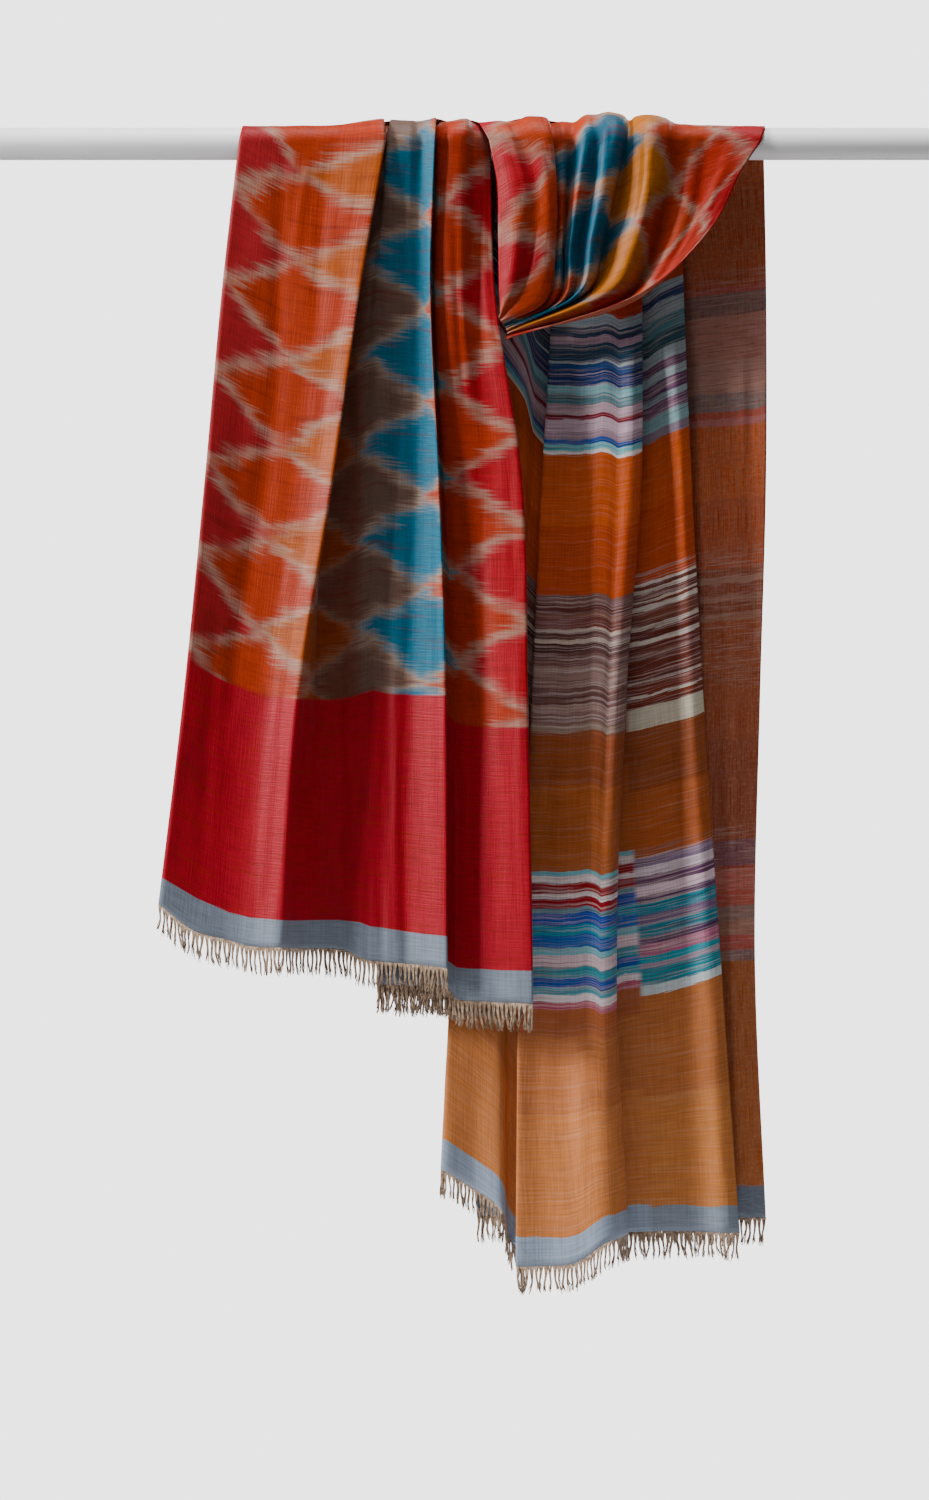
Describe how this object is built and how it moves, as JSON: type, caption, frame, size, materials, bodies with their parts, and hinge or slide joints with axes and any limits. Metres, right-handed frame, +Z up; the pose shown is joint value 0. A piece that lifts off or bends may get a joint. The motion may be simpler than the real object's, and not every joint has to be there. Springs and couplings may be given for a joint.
{
  "type": "pashmina shawl hung over a rail",
  "caption": "Fringed pashmina shawl, ikat and striped, draped in pleats over a round rail with one side swagged across the front.",
  "frame": {"origin": "on the rail's axis, half way along it, where the rail is held", "axes": "+X along the rail to the viewer's right, +Z up, -Y towards the viewer, who sees the shawl's front"},
  "size_m": [1, 0.0845, 1.1801],
  "materials": {
    "ikat_cloth": "fine twill with a soft silk sheen, red, orange and teal ikat lattice",
    "striped_cloth": "fine twill with a soft silk sheen, broad weft stripes in orange, brown and tan",
    "fringe_yarn": "loose warp ends, matt taupe",
    "rail_paint": "satin white paint"
  },
  "bodies": {
    "root": {"rail": "rail_paint", "front_fall": "ikat_cloth", "swag": "ikat_cloth", "front_tail": "ikat_cloth", "back_fold": "striped_cloth", "back_fall": "striped_cloth", "front_fringe": "fringe_yarn", "tail_fringe": "fringe_yarn", "fold_fringe": "fringe_yarn", "back_fringe": "fringe_yarn"}
  },
  "joints": []
}
